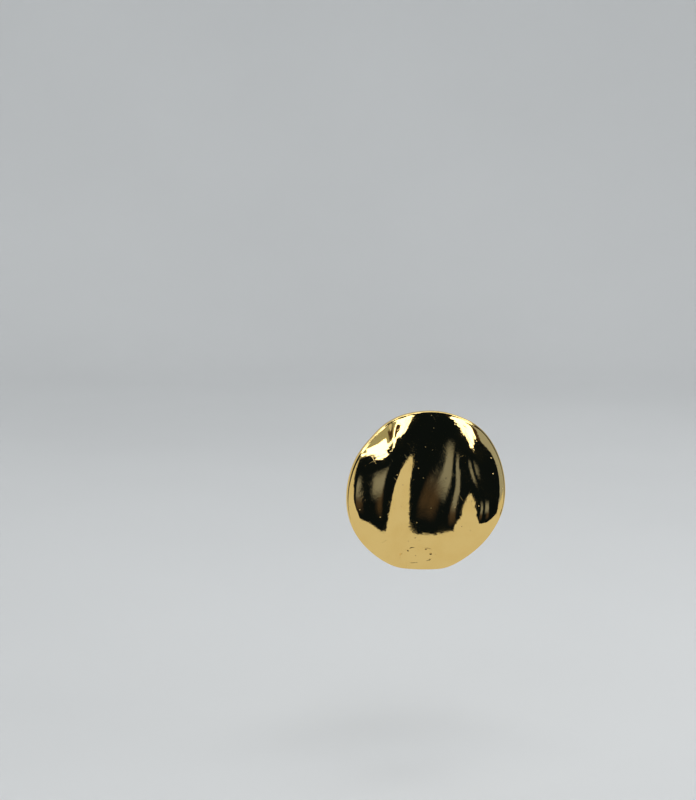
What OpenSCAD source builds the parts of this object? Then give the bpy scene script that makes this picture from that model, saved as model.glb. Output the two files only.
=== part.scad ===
// A round, domed and wavy gold stud earring, in millimetres. The disc faces -Y with +Z up.
// The post lies along +Y, and the origin is on its axis where the disc rests on the ear lobe.

/* [Disc] */
// Mean radius of the disc's outline
disc_r = 12.6; // [12:0.1:13.2]
// Thickness of the metal, front to back
disc_t = 1.0; // [0.8:0.1:1.2]
// Rise of the dome from the left and right edges to the middle
dome_across = 1.4; // [1:0.1:1.8]
// Rise of the dome from the bottom and top edges to the middle
dome_up = 2.4; // [2:0.1:2.8]
// How far the outermost part of the disc is turned back, at most
turn_d = 0.4; // [0.1:0.05:0.5]
// How far it is turned back at the least
turn_least = 0.05; // [0:0.05:0.1]
// Angle from +X at which it is turned back most, on both sides
turn_at = 18; // [0:2:40]
// Width of that turned edge
turn_w = 1.5; // [1.2:0.1:2]
// Radius of the two rounded corners of the disc's edge
edge_r = 0.25; // [0.15:0.05:0.35]
// Distance from the centre down to the flat spot on the bottom edge
flat_low = 13.2; // [12.9:0.1:13.6]
// Height of the folds, as a share of the heights in their table
fold_gain = 1; // [0.8:0.05:1.1]

/* [Post] */
// Height of the post above the centre of the disc
post_up = 5; // [4:0.5:6]
// Radius of the post
post_r = 0.45; // [0.4:0.05:0.55]
// Reach of the post behind the origin
post_l = 9.6; // [9:0.2:12]
// Radius of the solder pad at the foot of the post
pad_r = 1.1; // [0.9:0.1:1.2]
// How far the pad stands out of the back of the disc
pad_h = 0.6; // [0.4:0.1:1]

/* [Ear nut] */
// Radius of the nut's flange
nut_r = 2.9; // [2.4:0.1:3.5]
// Radius of the nut's barrel
barrel_r = 1.6; // [1.3:0.1:1.9]
// Length of the whole nut
nut_l = 3; // [2.5:0.1:3.4]
// Thickness of the flange
flange_t = 0.8; // [0.6:0.1:1.2]
// Gap between the disc's rearmost edge and the nut, where the ear lobe goes
lobe_gap = 5.2; // [4.8:0.1:5.6]
// Gap between the post and the nut's hole
post_gap = 0.15; // [0.1:0.05:0.25]

/* [Hidden] */

// Rings from the centre out, and steps round the disc
RINGS = 22;
STEPS = 80;
// The edge's rings: the angle turned round a corner, and 1 for the corner at the back
TURN = 0;
REAR = 1;
EDGE = [[45, 0], [90, 0], [90, 1], [135, 1]];

// The outline: how many waves go round, their height, and the angle of a crest from +X
WAVES = 0;
SIZE = 1;
CREST = 2;
OUTLINE = [
    [1, 0.15, 210],
    [2, 0.35, 60],
    [3, 0.25, 45],
    [5, 0.10, 279],
];
// Its dents and bulges: the angle of each, its width in degrees, and how far it stands out
AT = 0;
WIDE = 1;
OUT = 2;
BULGES = [
    [284, 14,  0.38],  // the right end of the flat spot
    [ 67, 17, -0.38],
    [106, 16,  0.34],
    [136, 12, -0.22],
];

// The folds, one row each. A fold runs from the bottom edge to the top edge and may lean or bow.
LOW_X = 0;      // where it meets the bottom edge
TOP_X = 1;      // where it meets the top edge
BOW = 2;        // how far its middle is pushed to the right
MID_Z = 3;      // height at which it is strongest
LEFT_LOW = 4;   // width of its left flank at the bottom
LEFT_TOP = 5;   // width of its left flank at the top
RIGHT = 6;      // width of its right flank
DOWN = 7;       // how far it reaches down from there
UP = 8;         // how far it reaches up from there
HEIGHT = 9;     // height, and below zero a valley
LEFT_FORM = 10; // form of its left flank: 2 is round, more is flat in the middle with a steep side
RIGHT_FORM = 11; // form of its right flank
FOLDS = [
    [  0.4,   6.4, -2.6, -3.0, 4.0, 7.4, 7.4, 24.0, 22.0, -2.8, 3.4, 2.2],  // the middle valley
    [-10.5,  -9.5,  0.0, -6.0, 3.4, 3.4, 3.4,  8.0,  9.0,  0.4, 2.0, 2.0],  // the left ridge
    [  9.8,   9.0,  0.0, -6.2, 4.0, 2.0, 6.0,  6.0,  7.0,  2.1, 2.0, 2.0],  // the right ridge
    [  7.4,   7.0,  0.0,  6.0, 2.2, 2.2, 2.2,  4.4,  5.0, 0.85, 2.0, 2.0],  // the crease above it
    [ -8.5,  -8.5,  0.0, 13.0, 5.0, 5.0, 5.0,  5.0,  5.0, -2.1, 2.0, 2.0],  // the left shoulder, bent back
    [ -7.3,  -5.1,  0.0,  9.0, 0.7, 0.7, 0.7,  3.0,  3.0, 0.17, 2.0, 2.0],  // the small crease beside it
    [-12.0, -12.0,  0.0, -9.0, 5.0, 5.0, 4.0,  5.0,  6.0, -0.8, 2.0, 2.0],  // the lower left, bent back
    [ 12.5,  12.5,  0.0, -8.5, 5.0, 5.0, 5.0,  4.0,  4.5, -1.9, 2.0, 2.0],  // the lower right, bent back
];

// The disc's middle plane lies this far in front of the origin, so that its rearmost edge is at it
disc_back = 2.12;
disc_z = -post_up;
pad_front = disc_t / 2 - face(0, post_up) - disc_back;
pad_back = pad_front + disc_t / 2 + pad_h;

function ease(s) = let(t = min(max(s, 0), 1)) t * t * (3 - 2 * t);
function total(v, i = 0) = i < len(v) ? v[i] + total(v, i + 1) : 0;
function soft_min(a, b, blend) = (a + b - sqrt((a - b) * (a - b) + blend * blend)) / 2;

// Radius of the outline at the angle a from +X: waves and bulges round a circle, flat below
function bulge(b, a) = b[OUT] * exp(-pow(((a - b[AT] + 540) % 360 - 180) / b[WIDE], 2));
function wavy_r(a) =
    disc_r
    + total([for (w = OUTLINE) w[SIZE] * cos(w[WAVES] * (a - w[CREST]))])
    + total([for (b = BULGES) bulge(b, a)]);
function rim_r(a) = sin(a) < -0.5 ? soft_min(wavy_r(a), -flat_low / sin(a), 0.25) : wavy_r(a);

// How far the front stands out towards -Y at x and z from the disc's centre
function dome(x, z) = dome_across * (1 - pow(x / disc_r, 2)) + dome_up * (1 - pow(z / disc_r, 2));
function fold(f, x, z) =
    let(s = ease((z + disc_r) / (2 * disc_r)),
        mid = f[LOW_X] + (f[TOP_X] - f[LOW_X]) * s + f[BOW] * (1 - pow(z / disc_r, 2)),
        left = f[LEFT_LOW] + (f[LEFT_TOP] - f[LEFT_LOW]) * s,
        across = (x - mid) / (x < mid ? left : f[RIGHT]),
        along = (z - f[MID_Z]) / (z < f[MID_Z] ? f[DOWN] : f[UP]),
        form = x < mid ? f[LEFT_FORM] : f[RIGHT_FORM])
    fold_gain * f[HEIGHT] * exp(-pow(abs(across), form) - along * along);
function turned(x, z) =
    let(a = atan2(z, x),
        inside = max(rim_r(a) - norm([x, z]), 0),
        deep = turn_least + (turn_d - turn_least) * pow(cos(a - turn_at), 2))
    deep * pow(max(1 - inside / turn_w, 0), 2);
function face(x, z) = dome(x, z) + total([for (f = FOLDS) fold(f, x, z)]) - turned(x, z);

// A rounded corner of a turned shape, at the radius r and the height h, from the angle a on
function corner(r, h, a, soft = 0.3) =
    [for (b = [a:22.5:a + 90]) [r - soft + soft * cos(b), (a < 0 ? h + soft : h - soft) + soft * sin(b)]];

// A point of the disc in the part's frame: r out at the angle a, and back behind the front
function disc_point(r, a, back, out = 0) =
    let(x = r * cos(a), z = r * sin(a))
    [x + out * cos(a), back - face(x, z) - disc_back, z + out * sin(a) + disc_z];

module wavy_shell() {
    angles = [for (j = [0:STEPS - 1]) j * 360 / STEPS];
    front = [for (i = [1:RINGS], a = angles) disc_point((rim_r(a) - edge_r) * i / RINGS, a, 0)];
    edge = [for (e = EDGE, a = angles)
        let(back = edge_r * (1 - cos(e[TURN])) + e[REAR] * (disc_t - 2 * edge_r))
        disc_point(rim_r(a) - edge_r, a, back, edge_r * sin(e[TURN]))];
    back = [for (i = [RINGS:-1:1], a = angles) disc_point((rim_r(a) - edge_r) * i / RINGS, a, disc_t)];
    points = concat(front, edge, back, [disc_point(0, 0, 0), disc_point(0, 0, disc_t)]);
    rows = 2 * RINGS + len(EDGE);
    front_mid = rows * STEPS;
    back_mid = front_mid + 1;
    faces = concat(
        [for (j = [0:STEPS - 1]) [front_mid, (j + 1) % STEPS, j]],
        [for (i = [0:rows - 2], j = [0:STEPS - 1])
            let(a = i * STEPS + j, b = i * STEPS + (j + 1) % STEPS, c = b + STEPS, d = a + STEPS)
            each [[a, b, c], [a, c, d]]],
        [for (j = [0:STEPS - 1]) let(last = (rows - 1) * STEPS) [back_mid, last + j, last + (j + 1) % STEPS]]
    );
    polyhedron(points, faces, convexity = 6);
}

// The post with its round tip, and the solder pad that sinks into the back of the disc
module post() {
    fillet_r = pad_r - post_r;
    rotate([-90, 0, 0])
        rotate_extrude($fn = 48)
            polygon(concat(
                [[0, pad_front], [pad_r, pad_front], [pad_r, pad_back - fillet_r / 2]],
                [for (a = [0:15:90]) [pad_r - fillet_r * sin(a), pad_back - fillet_r / 2 * cos(a)]],
                [for (a = [0:15:90]) [post_r * cos(a), post_l - post_r + post_r * sin(a)]]
            ));
}

module front_disc() {
    color("gold") union() {
        wavy_shell();
        post();
    }
}

// The plain push-on nut: a flange against the back of the lobe and a barrel with a round end
module ear_nut() {
    bore_r = post_r + post_gap;
    color("goldenrod")
        translate([0, lobe_gap, 0])
            rotate([-90, 0, 0])
                rotate_extrude($fn = 64)
                    polygon(concat(
                        [[bore_r, 0]],
                        corner(nut_r, 0, -90),
                        corner(nut_r, flange_t, 0),
                        [[barrel_r, flange_t]],
                        corner(barrel_r, nut_l, 0),
                        [[bore_r, nut_l]]
                    ));
}

front_disc();
ear_nut();
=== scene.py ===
"""Dresses a round, domed and wavy gold stud earring, and shows it in a small light tent.

The disc with its soldered post and the ear nut are modelled again at a finer grain than the
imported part's own solids, from the same named sizes. Sizes are in millimetres, in the part's
frame: the disc faces -Y with +Z up, and the post runs along +Y through the origin.
"""

import logging
import math
from dataclasses import dataclass
from enum import Enum

import bmesh
import bpy
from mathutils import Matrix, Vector


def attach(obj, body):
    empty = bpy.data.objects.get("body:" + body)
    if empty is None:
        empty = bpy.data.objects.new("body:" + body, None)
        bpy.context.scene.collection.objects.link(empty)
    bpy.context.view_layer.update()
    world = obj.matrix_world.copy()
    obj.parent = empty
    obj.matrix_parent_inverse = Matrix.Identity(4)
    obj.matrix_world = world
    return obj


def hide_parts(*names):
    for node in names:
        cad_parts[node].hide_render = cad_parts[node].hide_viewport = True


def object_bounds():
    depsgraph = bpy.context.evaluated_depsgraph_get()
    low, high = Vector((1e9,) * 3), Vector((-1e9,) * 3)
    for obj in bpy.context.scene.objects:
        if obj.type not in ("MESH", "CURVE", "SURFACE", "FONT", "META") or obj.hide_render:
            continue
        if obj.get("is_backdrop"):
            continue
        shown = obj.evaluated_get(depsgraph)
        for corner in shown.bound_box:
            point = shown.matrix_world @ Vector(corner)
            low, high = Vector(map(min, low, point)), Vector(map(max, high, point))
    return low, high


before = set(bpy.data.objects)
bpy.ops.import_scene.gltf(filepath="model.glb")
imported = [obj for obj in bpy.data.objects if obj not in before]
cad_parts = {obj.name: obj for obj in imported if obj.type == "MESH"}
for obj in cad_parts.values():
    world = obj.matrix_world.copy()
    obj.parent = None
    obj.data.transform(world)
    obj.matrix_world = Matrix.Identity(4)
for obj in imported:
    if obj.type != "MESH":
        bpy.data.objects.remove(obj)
cad_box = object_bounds()

MM = 0.001
MICRON = 1e-6
MERGE = 1e-5
QUARTER = 90
log = logging.getLogger("earring")


def ease(share: float) -> float:
    """Returns a share from 0 to 1, eased at both ends."""
    t = min(max(share, 0.0), 1.0)
    return t * t * (3 - 2 * t)


def soft_min(a: float, b: float, blend: float) -> float:
    """Takes the smaller of two numbers, with a soft change from one to the other.

    Args:
        a: The first number.
        b: The second number.
        blend: How wide the soft change is.

    Returns:
        The smaller number, or a little less where the two are close.
    """
    return (a + b - math.sqrt((a - b) ** 2 + blend * blend)) / 2


class Turning:
    """A profile drawn as a wire of (radius, place along Y), and then turned about the Y axis."""

    def __init__(self, radius: float, along: float) -> None:
        """Starts the profile.

        Args:
            radius: Distance of the first point from the Y axis.
            along: Place of the first point along Y.
        """
        self.bm = bmesh.new()
        self.first = self.bm.verts.new((radius, along, 0.0))
        self.tip = self.first

    def line(self, radius: float, along: float, cuts: int = 0) -> None:
        """Draws a straight stretch.

        Args:
            radius: Distance of its far end from the Y axis.
            along: Place of its far end along Y.
            cuts: Points put in along it.
        """
        start, end = self.tip.co.copy(), Vector((radius, along, 0.0))
        for step in range(1, cuts + 2):
            self.tip = bmesh.ops.extrude_vert_indiv(self.bm, verts=[self.tip])["verts"][0]
            self.tip.co = start.lerp(end, step / (cuts + 1))

    def arc(self, radius: float, along: float, degrees: float, steps: int) -> None:
        """Draws a round stretch.

        Args:
            radius: Distance of the arc's centre from the Y axis.
            along: Place of the arc's centre along Y.
            degrees: How far it turns, from +X towards +Y.
            steps: Number of its straight bits.
        """
        made = bmesh.ops.spin(
            self.bm,
            geom=[self.tip],
            cent=(radius, along, 0.0),
            axis=(0.0, 0.0, 1.0),
            angle=math.radians(degrees),
            steps=steps,
        )
        self.tip = next(g for g in made["geom_last"] if isinstance(g, bmesh.types.BMVert))

    def close(self) -> None:
        """Joins the last point to the first."""
        self.bm.edges.new((self.tip, self.first))

    def turn(self, steps: int) -> bmesh.types.BMesh:
        """Turns the profile all the way round.

        Args:
            steps: Number of steps round the axis.

        Returns:
            The closed shape, with its faces outwards.
        """
        bmesh.ops.spin(
            self.bm,
            geom=list(self.bm.verts) + list(self.bm.edges),
            cent=(0.0, 0.0, 0.0),
            axis=(0.0, 1.0, 0.0),
            angle=math.tau,
            steps=steps,
            use_merge=True,
        )
        bmesh.ops.remove_doubles(self.bm, verts=self.bm.verts, dist=MERGE)
        bmesh.ops.recalc_face_normals(self.bm, faces=self.bm.faces)
        return self.bm


def make_piece(bm: bmesh.types.BMesh, name: str, material: bpy.types.Material) -> bpy.types.Object:
    """Makes an object of a shape given in millimetres.

    Args:
        bm: The shape, which is used up.
        name: The piece's name.
        material: Its finish.

    Returns:
        The object, at the origin, with its place in its mesh.
    """
    bmesh.ops.scale(bm, vec=(MM, MM, MM), verts=bm.verts)
    mesh = bpy.data.meshes.new(name)
    bm.to_mesh(mesh)
    bm.free()
    mesh.polygons.foreach_set("use_smooth", [True] * len(mesh.polygons))
    mesh.materials.append(material)
    piece = bpy.data.objects.new(name, mesh)
    bpy.context.scene.collection.objects.link(piece)
    log.info("%s: %d faces", name, len(mesh.polygons))
    return piece


# Finishes


class NodeDesk:
    """Adds nodes to a node tree and wires them."""

    def __init__(self, tree: bpy.types.NodeTree) -> None:
        """Takes the tree that the nodes go into.

        Args:
            tree: A material's or a group's node tree.
        """
        self.tree = tree

    def add(self, kind: str, inputs: dict | None = None, **settings: object) -> bpy.types.Node:
        """Adds a node.

        Args:
            kind: The node's type name.
            inputs: What goes into its inputs, by name or number: an output socket or a value.
            **settings: The node's own properties.

        Returns:
            The node.
        """
        node = self.tree.nodes.new(kind)
        for name, value in settings.items():
            setattr(node, name, value)
        for key, value in (inputs or {}).items():
            if isinstance(value, bpy.types.NodeSocket):
                self.tree.links.new(value, node.inputs[key])
            else:
                node.inputs[key].default_value = value
        return node

    def math(self, operation: str, a: object, b: object = 0.0,
             clamp: bool = False) -> bpy.types.NodeSocket:
        """Adds a Math node.

        Args:
            operation: Its operation.
            a: Its first input.
            b: Its second input.
            clamp: Whether the result is kept from 0 to 1.

        Returns:
            Its output.
        """
        node = self.add("ShaderNodeMath", {0: a, 1: b}, operation=operation, use_clamp=clamp)
        return node.outputs[0]

    def noise(self, place: object, scale: float, detail: float = 2.0) -> bpy.types.NodeSocket:
        """Adds a Noise Texture.

        Args:
            place: Where it is read.
            scale: Its scale, in waves per millimetre where the place is in millimetres.
            detail: Number of finer octaves.

        Returns:
            Its value, from 0 to 1.
        """
        node = self.add("ShaderNodeTexNoise", {"Vector": place, "Scale": scale, "Detail": detail})
        return node.outputs[0]

    def window(self, value: object, low: float, high: float, to_low: float = 0.0,
               to_high: float = 1.0) -> bpy.types.NodeSocket:
        """Maps a value smoothly from one range to another.

        Args:
            value: The value.
            low: Where the first range starts.
            high: Where it ends.
            to_low: What comes out at its start.
            to_high: What comes out at its end.

        Returns:
            The mapped value.
        """
        node = self.add(
            "ShaderNodeMapRange",
            {"Value": value, "From Min": low, "From Max": high, "To Min": to_low, "To Max": to_high},
            interpolation_type="SMOOTHSTEP",
        )
        return node.outputs[0]

    def mix(self, share: object, first: tuple[float, ...],
            second: tuple[float, ...]) -> bpy.types.NodeSocket:
        """Blends two colours.

        Args:
            share: The share of the second colour.
            first: The first colour.
            second: The second colour.

        Returns:
            The blended colour.
        """
        node = self.add(
            "ShaderNodeMix", {0: share, 6: (*first, 1.0), 7: (*second, 1.0)}, data_type="RGBA")
        return node.outputs[2]

    def surface(self, shader: bpy.types.NodeSocket) -> None:
        """Makes a shader the surface of the material."""
        self.add("ShaderNodeOutputMaterial", {"Surface": shader})


def new_material(name: str) -> tuple[bpy.types.Material, NodeDesk]:
    """Makes a material without nodes.

    Args:
        name: Its name.

    Returns:
        The material, and the desk for its nodes.
    """
    made = bpy.data.materials.new(name)
    made.use_nodes = True
    made.node_tree.nodes.clear()
    return made, NodeDesk(made.node_tree)


class PolishMarks:
    """The node group of what polishing and wear leave: ripples, hairlines, specks, dull patches.

    A noise is given by its waves per millimetre and its number of finer octaves, and a window by
    the values where it starts and where it ends.
    """

    NAME = "polish_marks"
    CLOUD_NOISE = (0.3, 4.0)
    RIPPLE_NOISE = (0.45, 1.0)
    GRAIN_NOISE = (2.4, 3.0)
    GRAIN_LEAST = 0.5
    HAIR_NOISE = (1.0, 1.0)
    HAIR_LAYS = ((0.5, 0.0), (-0.9, 7.0), (2.1, 19.0))
    HAIR_SHAPE = (0.45, 0.45, 6.0)
    HAIR_WINDOW = (0.74, 0.80)
    CLOUD_WINDOW = (0.35, 0.75)
    SPECK_CELLS = 0.85
    SPECK_SHARE = 0.5
    SPECK_WINDOW = (0.02, 0.11)

    @classmethod
    def group(cls) -> bpy.types.NodeTree:
        """Returns the node group, which is made once."""
        made = bpy.data.node_groups.get(cls.NAME)
        if made:
            return made
        tree = bpy.data.node_groups.new(cls.NAME, "ShaderNodeTree")
        faces = tree.interface
        faces.new_socket(name="Place", in_out="INPUT", socket_type="NodeSocketVector")
        for name in ("Ripple", "Grain", "Hairline", "Speck"):
            faces.new_socket(name=name, in_out="INPUT", socket_type="NodeSocketFloat")
        for name in ("Height", "Dullness", "Hairlines", "Specks"):
            faces.new_socket(name=name, in_out="OUTPUT", socket_type="NodeSocketFloat")
        desk = NodeDesk(tree)
        given = desk.add("NodeGroupInput")
        taken = desk.add("NodeGroupOutput")
        place = given.outputs["Place"]

        cloud = desk.window(desk.noise(place, *cls.CLOUD_NOISE), *cls.CLOUD_WINDOW)
        ripple = desk.noise(place, *cls.RIPPLE_NOISE)
        patchy = desk.window(cloud, 0.0, 1.0, cls.GRAIN_LEAST, 1.0)
        grain = desk.math("MULTIPLY", desk.noise(place, *cls.GRAIN_NOISE), patchy)
        hairlines: object = 0.0
        for turn, seed in cls.HAIR_LAYS:
            lay = desk.add(
                "ShaderNodeMapping",
                {"Vector": place, "Location": (seed, seed, seed), "Rotation": (0.0, turn, 0.0)})
            thin = desk.add(
                "ShaderNodeMapping", {"Vector": lay.outputs[0], "Scale": cls.HAIR_SHAPE})
            streak = desk.window(desk.noise(thin.outputs[0], *cls.HAIR_NOISE), *cls.HAIR_WINDOW)
            hairlines = desk.math("MAXIMUM", streak, hairlines)

        cells = desk.add("ShaderNodeTexVoronoi", {"Vector": place, "Scale": cls.SPECK_CELLS})
        lot = desk.add("ShaderNodeSeparateColor", {0: cells.outputs["Color"]}).outputs[0]
        picked = desk.math("GREATER_THAN", lot, cls.SPECK_SHARE)
        spot = desk.window(cells.outputs["Distance"], *cls.SPECK_WINDOW, 1.0, 0.0)
        specks = desk.math("MULTIPLY", spot, picked)

        height = desk.math("MULTIPLY", ripple, given.outputs["Ripple"])
        height = desk.math("ADD", height, desk.math("MULTIPLY", grain, given.outputs["Grain"]))
        height = desk.math(
            "SUBTRACT", height, desk.math("MULTIPLY", hairlines, given.outputs["Hairline"]))
        height = desk.math("ADD", height, desk.math("MULTIPLY", specks, given.outputs["Speck"]))
        for name, value in zip(("Height", "Dullness", "Hairlines", "Specks"),
                               (height, cloud, hairlines, specks)):
            tree.links.new(value, taken.inputs[name])
        return tree


@dataclass(frozen=True)
class Pit:
    """A small casting pit in the front of the disc. Sizes in mm, in the part's frame."""

    x: float
    z: float
    radius: float
    deep: float = 0.05
    core: float = 0.2

    def dent(self, x: float, z: float) -> float:
        """Gives how deep the pit is at a place on the disc."""
        return self.deep * math.exp(-((x - self.x) ** 2 + (z - self.z) ** 2) / self.radius**2)


@dataclass(frozen=True)
class WornRing:
    """A faint oval line worn into the front of the disc. Sizes in mm, in the part's frame."""

    x: float
    z: float
    half_wide: float
    half_high: float
    line: float
    break_noise: tuple[float, float] = (1.1, 2.0)
    break_window: tuple[float, float] = (0.42, 0.58)


@dataclass(frozen=True)
class GoldFinish:
    """Polished gold plate.

    The heights are in thousandths of a millimetre, and the roughness goes from sheen to dull.
    """

    name: str
    colour: tuple[float, float, float]
    deep: tuple[float, float, float]
    sheen: float
    dull: float
    ripple: float
    grain: float
    hairline: float
    speck: float
    rear_dull: float = 0.0
    pits: tuple[Pit, ...] = ()
    pit_deep: float = 30.0
    ring: WornRing | None = None
    ring_deep: float = 17.0
    cloud_tone: float = 0.5
    # How far the pits' colour goes towards the deep gold: painted shade in the pits.
    pit_shade_tone: float = 0.8
    hairline_dull: float = 0.06
    speck_dull: float = 0.4
    pit_dull: float = 0.2
    ring_dull: float = 0.2

    def material(self) -> bpy.types.Material:
        """Returns the finish as a Blender material."""
        made, desk = new_material(self.name)
        where = desk.add("ShaderNodeTexCoord").outputs["Object"]
        place = desk.add("ShaderNodeMapping", {"Vector": where, "Scale": (1 / MM,) * 3}).outputs[0]
        marks = desk.add(
            "ShaderNodeGroup",
            {"Place": place, "Ripple": self.ripple, "Grain": self.grain,
             "Hairline": self.hairline, "Speck": self.speck},
            node_tree=PolishMarks.group(),
        )

        height = marks.outputs["Height"]
        tone = desk.math("MULTIPLY", marks.outputs["Dullness"], self.cloud_tone)
        rough = desk.window(marks.outputs["Dullness"], 0.0, 1.0, self.sheen, self.dull)
        for name, share in (("Hairlines", self.hairline_dull), ("Specks", self.speck_dull)):
            rough = desk.math("ADD", rough, desk.math("MULTIPLY", marks.outputs[name], share))
        rear = desk.add("ShaderNodeAttribute", attribute_name="rear").outputs["Fac"]
        front = desk.math("SUBTRACT", 1.0, rear)
        if self.pits:
            pitted = desk.math("MULTIPLY", self.pitted(desk, place), front)
            height = desk.math("SUBTRACT", height, desk.math("MULTIPLY", pitted, self.pit_deep))
            # The pits' colour is darkened towards the deep gold: painted shade in the pits, on top
            # of their real dent and bump.
            painted_pit_shade = desk.math("MULTIPLY", pitted, self.pit_shade_tone)
            tone = desk.math("ADD", tone, painted_pit_shade, clamp=True)
            rough = desk.math("ADD", rough, desk.math("MULTIPLY", pitted, self.pit_dull))
        if self.ring:
            worn = desk.math("MULTIPLY", self.worn(desk, place, self.ring), front)
            height = desk.math("SUBTRACT", height, desk.math("MULTIPLY", worn, self.ring_deep))
            rough = desk.math("ADD", rough, desk.math("MULTIPLY", worn, self.ring_dull))
        rough = desk.math("ADD", rough, desk.math("MULTIPLY", rear, self.rear_dull))
        colour = desk.mix(tone, self.colour, self.deep)
        bump = desk.add("ShaderNodeBump", {"Strength": 1.0, "Distance": MICRON, "Height": height})
        shader = desk.add(
            "ShaderNodeBsdfPrincipled",
            {"Base Color": colour, "Metallic": 1.0, "Roughness": rough,
             "Normal": bump.outputs["Normal"]},
        )
        desk.surface(shader.outputs[0])
        return made

    def pitted(self, desk: NodeDesk, place: object) -> bpy.types.NodeSocket:
        """Marks the pits.

        Args:
            desk: Where the nodes go.
            place: The place on the piece, in millimetres.

        Returns:
            A mask that is 1 in the middle of each pit.
        """
        flat = desk.add(
            "ShaderNodeVectorMath", {0: place, 1: (1.0, 0.0, 1.0)}, operation="MULTIPLY")
        mask: object = 0.0
        for pit in self.pits:
            away = desk.add(
                "ShaderNodeVectorMath", {0: flat.outputs[0], 1: (pit.x, 0.0, pit.z)},
                operation="DISTANCE")
            spot = desk.window(away.outputs["Value"], pit.radius * pit.core, pit.radius, 1.0, 0.0)
            mask = desk.math("MAXIMUM", spot, mask)
        return mask

    def worn(self, desk: NodeDesk, place: object, ring: WornRing) -> bpy.types.NodeSocket:
        """Marks the worn ring, which is broken here and there.

        Args:
            desk: Where the nodes go.
            place: The place on the piece, in millimetres.
            ring: The ring.

        Returns:
            A mask that is 1 on the ring's line.
        """
        scale = (1 / ring.half_wide, 0.0, 1 / ring.half_high)
        shift = (-ring.x / ring.half_wide, 0.0, -ring.z / ring.half_high)
        flat = desk.add(
            "ShaderNodeVectorMath", {0: place, 1: scale, 2: shift}, operation="MULTIPLY_ADD")
        away = desk.add("ShaderNodeVectorMath", {0: flat.outputs[0]}, operation="LENGTH")
        off = desk.math("ABSOLUTE", desk.math("SUBTRACT", away.outputs["Value"], 1.0))
        line = desk.window(off, 0.0, ring.line / ring.half_high, 1.0, 0.0)
        left = desk.window(desk.noise(place, *ring.break_noise), *ring.break_window)
        return desk.math("MULTIPLY", line, left)


# The earring


@dataclass(frozen=True)
class Wave:
    """One of the waves that make the disc's outline uneven."""

    count: int
    size: float
    crest: float


@dataclass(frozen=True)
class Bulge:
    """A place where the disc's outline stands out, or below zero is dented. Angles in degrees."""

    at: float
    wide: float
    out: float

    def rise(self, turn: float) -> float:
        """Gives how far the outline stands out at an angle, in degrees from +X."""
        away = (turn - self.at + 540) % 360 - 180
        return self.out * math.exp(-((away / self.wide) ** 2))


@dataclass(frozen=True)
class Fold:
    """One fold of the disc, from its bottom edge to its top edge: a ridge, or below zero a valley.

    It meets the bottom edge at low_x and the top edge at top_x, its middle is pushed to the right
    by bow, and it is strongest at mid_z. Its left flank goes from left_low wide at the bottom to
    left_top at the top, its right flank is right wide, and it reaches down and up from mid_z. A
    flank's form is 2 where it is round, and more where it is flat in the middle with a steep side.
    """

    low_x: float
    top_x: float
    bow: float
    mid_z: float
    left_low: float
    left_top: float
    right: float
    down: float
    up: float
    height: float
    left_form: float = 2.0
    right_form: float = 2.0

    def rise(self, x: float, z: float, radius: float) -> float:
        """Works out how far the fold lifts the front.

        Args:
            x: Place from the disc's centre, to the right.
            z: Place from the disc's centre, upwards.
            radius: The disc's radius.

        Returns:
            The lift towards -Y.
        """
        climb = ease((z + radius) / (2 * radius))
        middle = self.low_x + (self.top_x - self.low_x) * climb + self.bow * (1 - (z / radius) ** 2)
        left = self.left_low + (self.left_top - self.left_low) * climb
        across = (x - middle) / (left if x < middle else self.right)
        along = (z - self.mid_z) / (self.down if z < self.mid_z else self.up)
        form = self.left_form if x < middle else self.right_form
        return self.height * math.exp(-(abs(across) ** form) - along * along)


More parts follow.
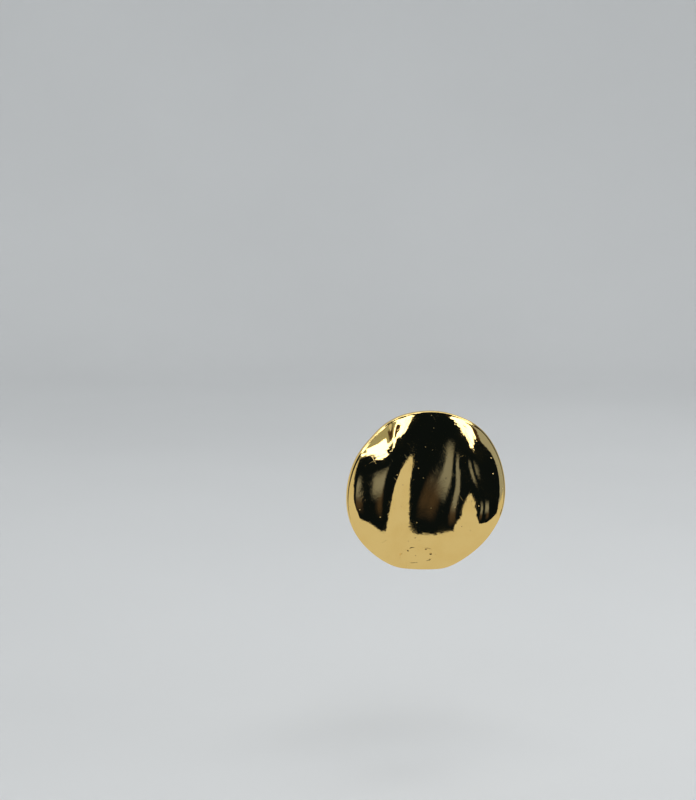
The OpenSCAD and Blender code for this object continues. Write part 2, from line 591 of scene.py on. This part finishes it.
@dataclass
class WavyDisc:
    """The front of the earring: a round, domed and wavy disc of metal with rounded edges."""

    finish: GoldFinish
    radius: float = 12.6
    metal: float = 1.0
    dome_across: float = 1.4
    dome_up: float = 2.4
    turn_deep: float = 0.4
    turn_least: float = 0.05
    turn_at: float = 18.0
    turn_wide: float = 1.5
    edge: float = 0.25
    flat_low: float = 13.2
    flat_blend: float = 0.25
    flat_below: float = -0.5
    back: float = 2.12
    inset: float = 0.02
    post_up: float = 5.0
    rings: int = 79
    steps: int = 288
    corner_steps: int = 6
    rear_from: float = 0.3
    rear_over: float = 0.6
    waves: tuple[Wave, ...] = (
        Wave(1, 0.15, 210),
        Wave(2, 0.35, 60),
        Wave(3, 0.25, 45),
        Wave(5, 0.10, 279),
    )
    bulges: tuple[Bulge, ...] = (
        Bulge(284, 14, 0.38),  # the right end of the flat spot
        Bulge(67, 17, -0.38),
        Bulge(106, 16, 0.34),
        Bulge(136, 12, -0.22),
    )
    folds: tuple[Fold, ...] = (
        Fold(0.4, 6.4, -2.6, -3.0, 4.0, 7.4, 7.4, 24.0, 22.0, -2.8, 3.4, 2.2),  # the middle valley
        Fold(-10.5, -9.5, 0.0, -6.0, 3.4, 3.4, 3.4, 8.0, 9.0, 0.4),  # the left ridge
        Fold(9.8, 9.0, 0.0, -6.2, 4.0, 2.0, 6.0, 6.0, 7.0, 2.1),  # the right ridge
        Fold(7.4, 7.0, 0.0, 6.0, 2.2, 2.2, 2.2, 4.4, 5.0, 0.85),  # the crease above it
        Fold(-8.5, -8.5, 0.0, 13.0, 5.0, 5.0, 5.0, 5.0, 5.0, -2.1),  # the left shoulder
        Fold(-7.3, -5.1, 0.0, 9.0, 0.7, 0.7, 0.7, 3.0, 3.0, 0.17),  # the small crease beside it
        Fold(-12.0, -12.0, 0.0, -9.0, 5.0, 5.0, 4.0, 5.0, 6.0, -0.8),  # the lower left
        Fold(12.5, 12.5, 0.0, -8.5, 5.0, 5.0, 5.0, 4.0, 4.5, -1.9),  # the lower right
    )

    def rim(self, angle: float) -> float:
        """Gives the outline's radius.

        Args:
            angle: Angle from +X towards +Z, in radians.

        Returns:
            The radius there, with the flat spot below.
        """
        turn = math.degrees(angle)
        wavy = self.radius + sum(
            w.size * math.cos(math.radians(w.count * (turn - w.crest))) for w in self.waves)
        wavy += sum(b.rise(turn) for b in self.bulges)
        low = math.sin(angle)
        if low >= self.flat_below:
            return wavy
        return soft_min(wavy, -self.flat_low / low, self.flat_blend)

    def face(self, x: float, z: float) -> float:
        """Gives how far the front stands out towards -Y.

        Args:
            x: Place from the disc's centre, to the right.
            z: Place from the disc's centre, upwards.

        Returns:
            The height of the dome with its folds and its turned edge.
        """
        dome = self.dome_across * (1 - (x / self.radius) ** 2)
        dome += self.dome_up * (1 - (z / self.radius) ** 2)
        angle = math.atan2(z, x)
        inside = max(self.rim(angle) - math.hypot(x, z), 0.0)
        lean = math.cos(angle - math.radians(self.turn_at)) ** 2
        deep = self.turn_least + (self.turn_deep - self.turn_least) * lean
        turned = deep * max(1 - inside / self.turn_wide, 0.0) ** 2
        return dome + sum(f.rise(x, z, self.radius) for f in self.folds) - turned

    def build(self) -> bpy.types.Object:
        """Turns a flat plate with rounded edges and shapes it."""
        plate = Turning(0.0, 0.0)
        plate.line(self.radius - self.edge, 0.0, self.rings)
        plate.arc(self.radius - self.edge, self.edge, QUARTER, self.corner_steps)
        plate.line(self.radius, self.metal - self.edge, 1)
        plate.arc(self.radius - self.edge, self.metal - self.edge, QUARTER, self.corner_steps)
        plate.line(0.0, self.metal, self.rings)
        bm = plate.turn(self.steps)
        rear = bm.verts.layers.float.new("rear")
        for v in bm.verts:
            v[rear] = ease((v.co.y / self.metal - self.rear_from) / self.rear_over)
            self.shape(v)
        bmesh.ops.recalc_face_normals(bm, faces=bm.faces)
        return make_piece(bm, "wavy_disc", self.finish.material())

    def shape(self, v: bmesh.types.BMVert) -> None:
        """Moves a point of the flat plate to its place on the wavy disc."""
        angle = math.atan2(v.co.z, v.co.x)
        out = math.hypot(v.co.x, v.co.z)
        rim, flat = self.rim(angle), self.radius - self.edge
        base = (rim - self.edge) * min(out / flat, 1.0)
        reach = base + max(out - flat, 0.0) - self.inset * min(out / flat, 1.0)
        x, z = base * math.cos(angle), base * math.sin(angle)
        lift = self.face(x, z)
        if v.co.y < self.edge / 2:
            lift -= sum(pit.dent(x, z - self.post_up) for pit in self.finish.pits)
        thinner = self.inset * (1 - 2 * v.co.y / self.metal)
        v.co = Vector((
            reach * math.cos(angle),
            v.co.y + thinner - lift - self.back,
            reach * math.sin(angle) - self.post_up,
        ))

    def foot(self) -> float:
        """Gives where the post starts along Y, in the middle of the metal."""
        return self.metal / 2 - self.face(0.0, self.post_up) - self.back


@dataclass
class Post:
    """The straight post behind the disc, with its solder pad and its round tip."""

    finish: GoldFinish
    radius: float = 0.45
    reach: float = 9.6
    pad_radius: float = 1.1
    pad_high: float = 0.6
    metal: float = 1.0
    steps: int = 64
    fillet_steps: int = 8
    tip_steps: int = 10

    def build(self, foot: float) -> bpy.types.Object:
        """Turns the post.

        Args:
            foot: Where it starts along Y, inside the disc's metal.

        Returns:
            The piece.
        """
        pad = foot + self.metal / 2 + self.pad_high
        fillet = self.pad_radius - self.radius
        rod = Turning(0.0, foot)
        rod.line(self.pad_radius, foot)
        rod.line(self.pad_radius, pad - fillet / 2)
        for step in range(1, self.fillet_steps + 1):
            turn = math.radians(step * QUARTER / self.fillet_steps)
            rod.line(self.pad_radius - fillet * math.sin(turn), pad - fillet / 2 * math.cos(turn))
        rod.line(self.radius, self.reach - self.radius)
        rod.arc(0.0, self.reach - self.radius, QUARTER, self.tip_steps)
        return make_piece(rod.turn(self.steps), "ear_post", self.finish.material())


@dataclass
class EarNut:
    """The plain push-on nut behind the ear lobe: a flange, and a barrel with a round end."""

    finish: GoldFinish
    start: float = 5.2
    flange_radius: float = 2.9
    flange_thick: float = 0.8
    barrel_radius: float = 1.6
    length: float = 3.0
    bore: float = 0.6
    corner: float = 0.3
    steps: int = 96
    corner_steps: int = 8

    def build(self) -> bpy.types.Object:
        """Turns the nut."""
        soft = self.corner
        flange, barrel = self.flange_radius - soft, self.barrel_radius - soft
        step, end = self.start + self.flange_thick, self.start + self.length
        nut = Turning(self.bore, self.start)
        nut.line(flange, self.start)
        nut.arc(flange, self.start + soft, QUARTER, self.corner_steps)
        nut.line(self.flange_radius, step - soft)
        nut.arc(flange, step - soft, QUARTER, self.corner_steps)
        nut.line(self.barrel_radius, step)
        nut.line(self.barrel_radius, end - soft)
        nut.arc(barrel, end - soft, QUARTER, self.corner_steps)
        nut.line(self.bore, end)
        nut.close()
        return make_piece(nut.turn(self.steps), "push_on_nut", self.finish.material())


# The stage


class Lie(Enum):
    """How a card lies in the tent, as its two directions among right, up and front."""

    LEVEL = ((1, 0, 0), (0, 0, 1))
    SIDE = ((0, 0, 1), (0, 1, 0))
    UPRIGHT = ((1, 0, 0), (0, 1, 0))


@dataclass(frozen=True)
class Card:
    """A glowing card of the light tent. Sizes in mm.

    It has soft edges where it has a feather, and its far side climbs by slant along its width.
    """

    name: str
    lie: Lie
    middle: tuple[float, float, float]
    size: tuple[float, float]
    glow: tuple[float, float, float]
    feather: tuple[float, float] = (0.0, 0.0)
    slant: float = 0.0

    def material(self) -> bpy.types.Material:
        """Returns the card's glow as a material."""
        made, desk = new_material(self.name)
        light = desk.add(
            "ShaderNodeEmission", {"Color": (*self.glow, 1.0), "Strength": 1.0}).outputs[0]
        if any(self.feather):
            uv = desk.add("ShaderNodeTexCoord").outputs["UV"]
            axes = desk.add("ShaderNodeSeparateXYZ", {0: uv}).outputs
            mask: object = 1.0
            for axis, soft in zip(axes, self.feather):
                if soft:
                    edge = desk.math("MINIMUM", axis, desk.math("SUBTRACT", 1.0, axis))
                    mask = desk.math("MULTIPLY", mask, desk.window(edge, 0.0, soft))
            clear = desk.add("ShaderNodeBsdfTransparent").outputs[0]
            light = desk.add("ShaderNodeMixShader", {0: mask, 1: clear, 2: light}).outputs[0]
        desk.surface(light)
        return made


@dataclass
class LightTent:
    """The tent that the gold mirrors: pale cards, a dark front with soft bars, and lamps above.

    Its middle is the disc's centre, and it leans by lean degrees about X.
    """

    middle: tuple[float, float, float] = (0.0, -2.12, -5.0)
    lean: float = 24.0
    left: float = -125.0
    right: float = 145.0
    floor: float = -34.0
    top: float = 190.0
    front: float = 120.0
    rear: float = -90.0
    pale: tuple[float, float, float] = (0.60, 0.575, 0.50)
    ceiling: tuple[float, float, float] = (0.34, 0.36, 0.31)
    behind: tuple[float, float, float] = (0.45, 0.45, 0.42)
    dark: tuple[float, float, float] = (0.0035, 0.006, 0.0105)
    lamp: tuple[float, float, float] = (3.0, 3.0, 2.9)
    rim_lamp: tuple[float, float, float] = (1.6, 1.6, 1.55)
    grey: tuple[float, float, float] = (0.33, 0.36, 0.41)
    brown: tuple[float, float, float] = (0.05, 0.03, 0.02)
    bar: tuple[float, float, float] = (0.215, 0.235, 0.285)
    ember: tuple[float, float, float] = (0.05, 0.038, 0.033)

    def cards(self) -> list[Card]:
        """Returns the cards, of which the one nearer to the middle hides another behind it."""
        tall, deep, wide = self.top - self.floor, self.front - self.rear, self.right - self.left
        up, mid, aside = (
            (self.top + self.floor) / 2, (self.front + self.rear) / 2, (self.right + self.left) / 2)
        high, near, lip = self.top - 2, self.front - 2, self.front - 5
        flat, side, upright = Lie.LEVEL, Lie.SIDE, Lie.UPRIGHT
        soft, tip = (0.3, 0.39), (0.3, 0.4)
        return [
            Card("card_floor", flat, (aside, self.floor, mid), (wide, deep), self.pale),
            Card("card_top", flat, (aside, self.top, mid), (wide, deep), self.ceiling),
            Card("card_left", side, (self.left, up, mid), (deep, tall), self.pale),
            Card("card_right", side, (self.right, up, mid), (deep, tall), self.pale),
            Card("card_right_high", side, (self.right - 1, 110, mid), (deep, 158), self.grey),
            Card("card_right_dark", side, (self.right - 2, 125, 113), (14, 128), self.dark),
            Card("card_rear", upright, (aside, up, self.rear), (wide, tall), self.behind),
            Card("card_front", upright, (aside, up, self.front), (wide, tall), self.dark),
            Card("card_front_lip", upright, (aside, self.floor + 5, lip), (wide + 20, 10),
                 self.pale),
            Card("card_front_slope", upright, (-92, -24, lip), (76, 60), self.pale, slant=-0.7),
            Card("card_front_steep", upright, (-120, 21, lip), (20, 90), self.pale),
            Card("card_front_step", upright, (-104, 14, lip + 1), (14, 40), self.pale, slant=-1.5),
            Card("card_top_brown_middle", flat, (6, high + 1, 80), (60, 48), self.brown),
            Card("card_top_dark_rear", flat, (31, high + 1, 43), (110, 34), self.dark),
            Card("card_top_brown_right", flat, (121, high + 1, 72), (50, 96), self.brown),
            Card("card_top_grey", flat, (118, high, 20), (56, 20), self.grey),
            Card("card_top_brown", flat, (-108, high, 66), (34, 72), self.brown, (0.15, 0.1)),
            Card("lamp_rim", flat, (aside, high, -40), (wide, 100), self.rim_lamp),
            Card("lamp_main", flat, (-41, high, 89), (34, 62), self.lamp),
            Card("lamp_left", flat, (-79, high, 96), (42, 20), self.lamp),
            Card("lamp_strip", flat, (5, high, 112), (58, 16), self.lamp),
            Card("lamp_right", flat, (61, high, 85), (54, 70), self.lamp),
            Card("lamp_front", upright, (2, 146, near), (52, 28), self.lamp, (0.05, 0.2)),
            Card("lamp_front_high", upright, (12, 175, near), (80, 30), self.lamp),
            Card("bar_left", upright, (-57, 42, near), (30, 68), self.bar, soft),
            Card("bar_right", upright, (4, 50, near), (58, 68), self.bar, (0.25, 0.4)),
            Card("bar_left_low", upright, (-57, 13, near + 1), (34, 60), self.ember, tip),
            Card("bar_right_low", upright, (14, 16, near + 1), (54, 58), self.ember, (0.45, 0.4)),
        ]

    def build(self) -> None:
        """Puts up the cards, which only the gold's reflections see."""
        lean = math.radians(self.lean)
        right = Vector((1.0, 0.0, 0.0))
        up = Vector((0.0, -math.sin(lean), math.cos(lean)))
        front = Vector((0.0, -math.cos(lean), -math.sin(lean)))
        for card in self.cards():
            bm = bmesh.new()
            bm.loops.layers.uv.new("UVMap")
            bmesh.ops.create_grid(bm, x_segments=1, y_segments=1, size=0.5, calc_uvs=True)
            across, high = (
                right * way[0] + up * way[1] + front * way[2] for way in card.lie.value)
            centre = Vector(self.middle) + (
                right * card.middle[0] + up * card.middle[1] + front * card.middle[2])
            for v in bm.verts:
                wide = v.co.x * card.size[0]
                v.co = centre + across * wide + high * (v.co.y * card.size[1] + card.slant * wide)
            sheet = make_piece(bm, card.name, card.material())
            sheet.visible_camera = sheet.visible_diffuse = False
            sheet.visible_shadow = sheet.visible_transmission = False
            sheet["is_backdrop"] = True


@dataclass
class Sweep:
    """The pale floor, which turns up all round into a pale wall."""

    floor: float = -49.0
    flat: float = 420.0
    bend: float = 160.0
    wall: float = 700.0
    tone: tuple[float, float, float] = (0.72, 0.732, 0.738)
    darker: float = 0.96
    cloud_noise: tuple[float, float] = (6.0, 3.0)
    cloud_window: tuple[float, float] = (0.3, 0.7)
    roughness: float = 0.9
    gloss: float = 0.2
    steps: int = 96

    def material(self) -> bpy.types.Material:
        """Returns matt pale board, with a faint unevenness."""
        made, desk = new_material("pale_board")
        where = desk.add("ShaderNodeTexCoord").outputs["Object"]
        cloudy = desk.window(desk.noise(where, *self.cloud_noise), *self.cloud_window)
        colour = desk.mix(cloudy, self.tone, tuple(c * self.darker for c in self.tone))
        shader = desk.add(
            "ShaderNodeBsdfPrincipled",
            {"Base Color": colour, "Roughness": self.roughness, "Specular IOR Level": self.gloss})
        desk.surface(shader.outputs[0])
        return made

    def build(self) -> None:
        """Turns the floor and its wall about the upright axis."""
        bowl = Turning(0.0, 0.0)
        bowl.line(self.flat, 0.0, 12)
        bowl.arc(self.flat, self.bend, QUARTER, 16)
        bowl.line(self.flat + self.bend, self.wall, 4)
        bm = bowl.turn(self.steps)
        for v in bm.verts:
            v.co = Vector((v.co.x, v.co.z, v.co.y + self.floor))
        bmesh.ops.recalc_face_normals(bm, faces=bm.faces)
        sweep = make_piece(bm, "pale_sweep", self.material())
        sweep.visible_glossy = False
        sweep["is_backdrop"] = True


@dataclass
class StudioLight:
    """The soft light on the floor and the wall: a wide lamp above and a weaker one at the right."""

    above: tuple[float, float, float] = (60.0, -80.0, 560.0)
    above_size: float = 420.0
    above_power: float = 1.7
    side: tuple[float, float, float] = (430.0, -160.0, 260.0)
    side_size: float = 260.0
    side_power: float = 0.5
    sky: tuple[float, float, float] = (0.66, 0.68, 0.69)
    sky_power: float = 0.68

    def lamp(self, name: str, place: tuple[float, float, float], size: float, power: float) -> None:
        """Hangs a soft lamp that points at the earring.

        Args:
            name: Its name.
            place: Where it hangs, in mm.
            size: Its width, in mm.
            power: Its power, in watts.
        """
        light = bpy.data.lights.new(name, "AREA")
        light.size = size * MM
        light.energy = power
        lamp = bpy.data.objects.new(name, light)
        lamp.location = Vector(place) * MM
        lamp.rotation_mode = "QUATERNION"
        lamp.rotation_quaternion = (-lamp.location).to_track_quat("-Z", "Y")
        lamp.visible_glossy = False
        bpy.context.scene.collection.objects.link(lamp)

    def build(self) -> None:
        """Hangs the lamps and sets the soft light all round."""
        self.lamp("lamp_above", self.above, self.above_size, self.above_power)
        self.lamp("lamp_side", self.side, self.side_size, self.side_power)
        world = bpy.data.worlds.new("soft_room")
        world.use_nodes = True
        bpy.context.scene.world = world
        glow = world.node_tree.nodes["Background"]
        glow.inputs["Color"].default_value = (*self.sky, 1.0)
        glow.inputs["Strength"].default_value = self.sky_power


@dataclass
class PhotoCamera:
    """The camera, which sees the disc where the photograph has it."""

    azimuth: float = -10.0
    elevation: float = 12.0
    distance: float = 280.0
    seen_at: tuple[float, float] = (426.0, 489.5)
    frame_size: tuple[int, int] = (696, 800)
    mm_per_pixel: float = 0.15625
    target: tuple[float, float, float] = (0.0, -2.12, -5.0)
    sensor: float = 36.0
    clip: tuple[float, float] = (1.0, 5000.0)

    def build(self) -> None:
        """Sets up the camera."""
        a, e = math.radians(self.azimuth), math.radians(self.elevation)
        back = Vector((math.sin(a) * math.cos(e), -math.cos(a) * math.cos(e), math.sin(e)))
        right = (-back).cross(Vector((0.0, 0.0, 1.0))).normalized()
        up = right.cross(-back)
        target = Vector(self.target)
        place = target + back * self.distance
        off_x = (self.seen_at[0] - self.frame_size[0] / 2) * self.mm_per_pixel
        off_y = (self.seen_at[1] - self.frame_size[1] / 2) * self.mm_per_pixel
        aim = target - right * off_x + up * off_y
        view = bpy.data.cameras.new("camera")
        view.sensor_width = self.sensor
        view.lens = self.distance / self.mm_per_pixel * self.sensor / max(self.frame_size)
        view.clip_start, view.clip_end = (reach * MM for reach in self.clip)
        camera = bpy.data.objects.new("camera", view)
        camera.location = place * MM
        camera.rotation_mode = "QUATERNION"
        camera.rotation_quaternion = (aim - place).to_track_quat("-Z", "Y")
        bpy.context.scene.collection.objects.link(camera)
        bpy.context.scene.camera = camera


# All of it

DISC_GOLD = GoldFinish(
    name="polished_gold",
    colour=(1.0, 0.755, 0.315),
    deep=(0.93, 0.66, 0.24),
    sheen=0.04,
    dull=0.09,
    ripple=18.0,
    grain=9.0,
    hairline=2.0,
    speck=15.0,
    rear_dull=0.22,
    pits=(
        Pit(-3.9, -14.9, 0.28),
        Pit(-2.8, -14.5, 0.2),
        Pit(0.2, -14.4, 0.2),
        Pit(1.0, -15.2, 0.3),
        Pit(0.9, -16.2, 0.22),
    ),
    ring=WornRing(-1.2, -15.35, 2.9, 1.35, 0.16),
)
POST_GOLD = GoldFinish(
    name="post_gold",
    colour=(1.0, 0.75, 0.32),
    deep=(0.86, 0.60, 0.24),
    sheen=0.12,
    dull=0.24,
    ripple=4.0,
    grain=2.0,
    hairline=1.2,
    speck=2.0,
)
NUT_GOLD = GoldFinish(
    name="nut_gold",
    colour=(1.0, 0.76, 0.35),
    deep=(0.88, 0.62, 0.26),
    sheen=0.10,
    dull=0.20,
    ripple=4.0,
    grain=2.0,
    hairline=1.4,
    speck=2.0,
)


def main() -> None:
    """Builds the stage and the earring."""
    logging.basicConfig(level=logging.INFO, format="%(message)s")
    bpy.context.scene.view_settings.view_transform = "Standard"
    PhotoCamera().build()
    LightTent().build()
    Sweep().build()
    StudioLight().build()

    disc = WavyDisc(DISC_GOLD)
    front = disc.build()
    post = Post(POST_GOLD).build(disc.foot())
    for piece in (front, post):
        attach(piece, "root")
        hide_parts("front_disc")
    nut = EarNut(NUT_GOLD).build()
    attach(nut, "root")
    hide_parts("ear_nut")

    boxes = {"cad": cad_box, "visual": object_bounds()}
    plain = {name: [list(corner) for corner in box] for name, box in boxes.items()}
    for name, (low, high) in plain.items():
        log.info("%s box: %s mm", name, [round((b - a) / MM, 3) for a, b in zip(low, high)])


if __name__ == "__main__":
    main()
